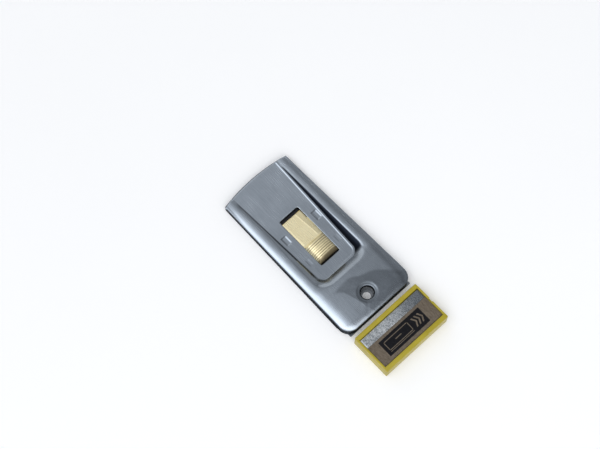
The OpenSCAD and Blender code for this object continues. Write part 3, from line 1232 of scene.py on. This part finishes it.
@dataclass
class SpareCase:
    """The yellow tray that the spare blades lie in."""

    u0: float = 94.0
    depth: float = 23.2
    v_mid: float = -0.5
    width: float = 41.6
    height: float = 8.7
    bar: float = 2.45
    end: float = 1.1
    floor: float = 1.2

    def build(self, finishes: Finishes) -> bpy.types.Object:
        """Makes the piece that stands for the CAD tray.

        Args:
            finishes: the materials.

        Returns:
            The piece.
        """
        u1 = self.u0 + self.depth
        lo, hi = self.v_mid - self.width / 2, self.v_mid + self.width / 2
        pen = Pen()
        pen.box((self.u0, lo, 0), (self.u0 + self.bar, hi, self.height), 0.75, 5)
        pen.box((u1 - self.bar, lo, 0), (u1, hi, self.height), 0.35, 4)
        pen.box((self.u0 + 0.8, lo + 0.15, 0.1), (u1 - 0.8, hi - 0.15, self.floor), 0.2, 2)
        inner0, inner1 = self.u0 + self.bar - 0.5, u1 - self.bar + 0.5
        z = self.height - 0.12
        pen.box((inner0, lo + 0.02, 0.05), (inner1, lo + self.end, z), 0.28, 3)
        notch = (self.u0 + self.bar + 7.7, self.u0 + self.bar + 9.9)
        pen.box((inner0, hi - self.end, 0.05), (notch[0], hi - 0.02, z), 0.22, 3)
        pen.box((notch[1], hi - self.end, 0.05), (inner1, hi - 0.02, z), 0.22, 3)
        pen.box((notch[0] - 0.4, hi - self.end + 0.02, 0.1),
                (notch[1] + 0.4, hi - 0.04, self.height - 1.6), 0.15, 2)
        obj = pen.piece("tray_skin", finishes["yellow_plastic"], "case", 40)
        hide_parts("case_tray")
        return obj


@dataclass
class SpareBlades:
    """The stack of spares: folded spine strips and card sleeves with a plain picture."""

    spine_u: float = 96.55
    spine_d: float = 5.5
    sleeve_d: float = 12.55
    half: float = 19.5
    v_mid: float = -0.5
    floor: float = 1.2
    pitch: float = 1.38
    spine_t: float = 1.2

    def spine(self, name: str, body: str, node: str, u0: float, z0: float, v_mid: float,
              back: int, finishes: Finishes) -> None:
        """Makes one folded strip.

        Args:
            name: the piece's name.
            body: the body that it rides on.
            node: the CAD node that it stands for.
            u0: where its back is.
            z0: its underside.
            v_mid: its middle across.
            back: 1 if the blade lies towards larger u, -1 if towards smaller u.
            finishes: the materials.
        """
        pen = Pen()
        t = self.spine_t
        wall = 0.33
        profile = [(self.spine_d, z0 + t), (0.45, z0 + t), (0.18, z0 + t - 0.12),
                   (0.02, z0 + t - 0.4), (0.0, z0 + t / 2), (0.02, z0 + 0.4),
                   (0.18, z0 + 0.12), (0.45, z0), (self.spine_d, z0)]
        count = 30
        rows = []
        for i in range(count + 1):
            v = v_mid - self.half + 2 * self.half * i / count
            dip = 0.035 * math.sin(i * 1.9) * math.sin(i * 0.53 + 1.0)
            rows.append([(u0 + back * d, v, z + (dip - 0.035 if z > z0 + t / 2 else 0.0))
                         for d, z in profile])
        # Painted shade: each strip darkens towards larger v
        pen.grid(rows, mask=lambda p: (0.78 * ease((p[1] - v_mid + 3) / 19), 0.0))
        obj = pen.piece(name, finishes["rolled_spine"], body, 60)
        thicken(obj, wall, -1, 0.04)
        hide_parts(node)

    def sleeve(self, i: int, finishes: Finishes) -> None:
        """Makes the i-th card sleeve, folded round a blade's edge.

        Args:
            i: the spare's number, 1 at the bottom.
            finishes: the materials.
        """
        pen = Pen()
        z0 = self.floor + (i - 1) * self.pitch
        z1 = z0 + self.pitch - 0.02
        u0 = self.spine_u + self.spine_d + 0.06
        u1 = u0 + self.sleeve_d
        mid = (z0 + z1) / 2
        profile = [(u0, z1), (u1 - 0.5, z1), (u1 - 0.2, z1 - 0.1), (u1, z1 - 0.35), (u1, mid),
                   (u1, z0 + 0.35), (u1 - 0.2, z0 + 0.1), (u1 - 0.5, z0), (u0, z0)]
        rows = [[(u, v, z) for u, z in profile]
                for v in spread(self.v_mid - self.half, self.v_mid + self.half, 12)
                + [self.v_mid + self.half]]
        pen.grid(rows)
        obj = pen.piece(f"sleeve_skin_{i}", finishes["brown_card"], f"spare_{i}", 60)
        thicken(obj, 0.4, -1, 0.05)
        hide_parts(f"blade_sleeve_{i}")

    def picture(self, finishes: Finishes) -> None:
        """Prints a dark band with a plain blade and three chevrons on the top sleeve.

        Args:
            finishes: the materials.
        """
        z = self.floor + 5 * self.pitch - 0.02
        low, high = z - 0.01, z + 0.012
        u0, u1 = 103.6, 112.6
        band = Pen()
        band.prism([(u0, -14.4), (u1, -14.4), (u1, 12.6), (u0, 12.6)], low, high)
        band.piece("sleeve_picture", finishes["black_print"], "spare_5")
        lines = Pen()
        low, high = high - 0.01, high + 0.008
        for a, b in (((u0 + 1.6, -12.6), (u0 + 2.0, 3.4)), ((u1 - 2.6, -12.6), (u1 - 2.2, 3.4)),
                     ((u0 + 1.6, -12.6), (u1 - 2.2, -12.2)), ((u0 + 1.6, 3.0), (u1 - 2.2, 3.4)),
                     ((u1 - 1.7, -12.6), (u1 - 1.4, 3.4)), ((u0 + 3.9, -6.6), (u0 + 4.4, -2.6))):
            lines.box((*a, low), (*b, high))
        mid = (u0 + u1) / 2
        for v in (5.4, 7.4, 9.4):
            lines.prism([(mid - 2.6, v), (mid - 2.6, v + 0.9), (mid, v + 2.3), (mid + 2.6, v + 0.9),
                         (mid + 2.6, v), (mid, v + 1.4)], low, high)
        lines.piece("sleeve_picture_lines", finishes["brown_card"], "spare_5")

    def build(self, finishes: Finishes) -> None:
        """Makes all the strips, the sleeves and the picture.

        Args:
            finishes: the materials.
        """
        for i in range(1, 6):
            z0 = self.floor + (i - 1) * self.pitch + (self.pitch - self.spine_t) / 2
            self.spine(f"spine_skin_{i}", f"spare_{i}", f"spare_spine_{i}", self.spine_u, z0,
                       self.v_mid, 1, finishes)
            self.sleeve(i, finishes)
        self.spine("fitted_spine_skin", "carriage", "fitted_blade_spine", 23.1, 1.7, 0.0, -1,
                   finishes)
        self.picture(finishes)


@dataclass
class Studio:
    """Camera, floor and lights, as worked out from the photograph."""

    elevation: float = 70.82
    roll: float = 3.845
    distance: float = 1005.76
    focal_px: float = 2001.6
    width_px: float = 600.0
    heading: float = -43.206
    front: tuple[float, float] = (-23.671, 20.014)
    lobe: tuple[float, float] = (205.0, 60.0)
    lobe_stops: tuple[tuple[float, float], ...] = (
        (0.0, 0.5), (0.2, 0.34), (0.45, 0.22), (0.77, 0.46), (0.87, 0.58), (0.94, 0.82),
        (0.985, 1.6), (1.0, 2.2))
    tint: Colour = (0.985, 0.995, 1.015)
    horizon: float = 0.27
    low_stops: tuple[tuple[float, float], ...] = ((0.0, 0.3), (0.3, 0.45), (0.66, 1.0))

    def turn(self, p: Vector) -> Vector:
        """Turns a direction of the photograph's ground frame into the row's frame.

        Args:
            p: the direction.

        Returns:
            The turned direction.
        """
        a = math.radians(self.heading)
        along = Vector((math.cos(a), math.sin(a), 0))
        across = Vector((-math.sin(a), math.cos(a), 0))
        return Vector((-p.dot(along), -p.dot(across), p.z))

    def spot(self, p: Vector) -> Vector:
        """Turns a point of the ground frame, in millimetres, into the row's frame.

        Args:
            p: the point.

        Returns:
            The point in metres.
        """
        a = math.radians(self.heading)
        home = Vector((self.front[0], self.front[1], 0.0))
        home += HOLE_U * Vector((math.cos(a), math.sin(a), 0)) + Vector((0, 0, SHEET))
        return self.turn(p - home) * MM

    def camera(self) -> None:
        """Sets the photograph's camera."""
        e, r = math.radians(self.elevation), math.radians(self.roll)
        back = Vector((0, -math.cos(e), math.sin(e)))
        right = Vector((1, 0, 0))
        up = back.cross(right)
        x_axis = right * math.cos(r) + up * math.sin(r)
        y_axis = -right * math.sin(r) + up * math.cos(r)
        data = bpy.data.cameras.new("photo_camera")
        data.sensor_width = 36.0
        data.lens = self.focal_px / self.width_px * 36.0
        data.clip_start, data.clip_end = 0.05, 10.0
        cam = new_object("photo_camera", data)
        axes = [self.turn(a) for a in (x_axis, y_axis, back)]
        cam.matrix_world = Matrix.Translation(self.spot(back * self.distance)) @ Matrix(
            axes).transposed().to_4x4()
        bpy.context.scene.camera = cam

    def floor(self) -> None:
        """Lays the pale floor."""
        bm = bmesh.new()
        bmesh.ops.create_grid(bm, x_segments=1, y_segments=1, size=3.0)
        bmesh.ops.translate(bm, vec=(0, 0, -SHEET * MM), verts=bm.verts)
        mesh = bpy.data.meshes.new("floor")
        bm.to_mesh(mesh)
        bm.free()
        mesh.materials.append(FloorFinish().build())
        new_object("floor", mesh)

    def panel(self, name: str, azimuth: float, elevation: float, away: float,
              size: tuple[float, float], power: float) -> None:
        """Hangs one soft light.

        Args:
            name: the light's name.
            azimuth: its bearing seen from above in the photograph, 0 at the right of the
                picture and 90 at the top.
            elevation: its height above the horizon in degrees.
            away: its distance in metres.
            size: its two sides in metres.
            power: in watts.
        """
        data = bpy.data.lights.new(name, "AREA")
        data.shape = "RECTANGLE"
        data.size, data.size_y = size
        data.energy = power
        obj = new_object(name, data)
        direction = self.bearing(azimuth, elevation)
        obj.location = at(60, 0, 0) + direction * away
        obj.rotation_mode = "QUATERNION"
        obj.rotation_quaternion = direction.to_track_quat("Z", "Y")

    def bearing(self, azimuth: float, elevation: float) -> Vector:
        """Direction of a bearing seen from above in the photograph, in the row's frame.

        Args:
            azimuth: 0 at the right of the picture, 90 at its top, in degrees.
            elevation: height above the horizon, in degrees.

        Returns:
            The direction.
        """
        a, e = math.radians(azimuth), math.radians(elevation)
        return self.turn(Vector((math.cos(a) * math.cos(e), math.sin(a) * math.cos(e),
                                 math.sin(e))))

    def sky(self, tree: bpy.types.NodeTree) -> None:
        """Makes the room: one wide soft glow, fading away from its middle and low down.

        Args:
            tree: the world's node tree.
        """
        pen = Tree(tree)
        coords = pen.node("TexCoord").outputs["Generated"]
        tones = []
        for aim, stops in ((self.bearing(*self.lobe), self.lobe_stops),
                           (Vector((0, 0, 1)), self.low_stops)):
            dot = pen.pair("VectorMath", "DOT_PRODUCT", coords, aim).outputs["Value"]
            tones.append(pen.ramp(dot, [(place, tuple(tone * c for c in self.tint))
                                        for place, tone in stops]))
        glow = pen.pair("VectorMath", "MULTIPLY", *tones).outputs["Vector"]
        up = pen.node("SeparateXYZ", Vector=coords).outputs["Z"]
        haze = pen.span(up, self.horizon, 0.0, 0.0, 0.5)
        total = pen.pair("VectorMath", "ADD", glow, haze).outputs["Vector"]
        pen.feed(tree.nodes["Background"], "Color", total)

    def build(self) -> None:
        """Sets camera, floor, world and lights."""
        self.camera()
        self.floor()
        world = bpy.data.worlds.new("studio")
        world.use_nodes = True
        self.sky(world.node_tree)
        bpy.context.scene.world = world
        self.panel("soft_near", 285, 48, 1.1, (1.3, 1.0), 5.2)
        self.panel("soft_back", 125, 30, 1.2, (1.2, 0.7), 1.3)
        bpy.context.scene.view_settings.exposure = 0.25
        bpy.context.scene.view_settings.view_transform = "Standard"


PLAIN_FINISH = {
    # base_plate and blade_stud: darkened plate finish, painted shade
    "base_plate": "plate_painted_shade",
    # blade_carrier: near black, painted shade
    "blade_carrier": "carrier_painted_shade",
    "blade_stud": "plate_painted_shade",
    "leaf_rivets": "satin_brass",
    "fitted_blade": "ground_blade",
    **{f"spare_blade_{i}": "ground_blade" for i in range(1, 6)},
}


def paint_nodes(finishes: Finishes) -> None:
    """Gives the CAD nodes that stay in view their finishes.

    Args:
        finishes: the materials.
    """
    for node, finish in PLAIN_FINISH.items():
        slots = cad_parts[node].data.materials
        slots.clear()
        slots.append(finishes[finish])


def main() -> None:
    """Builds the scene."""
    logging.basicConfig(level=logging.INFO)
    finishes = Finishes()
    Studio().build()
    paint_nodes(finishes)
    for maker in (PressedShell(), ThumbLeaf(), SpareCase(), SpareBlades()):
        maker.build(finishes)
        LOG.info("built %s", type(maker).__name__)


if __name__ == "__main__":
    main()
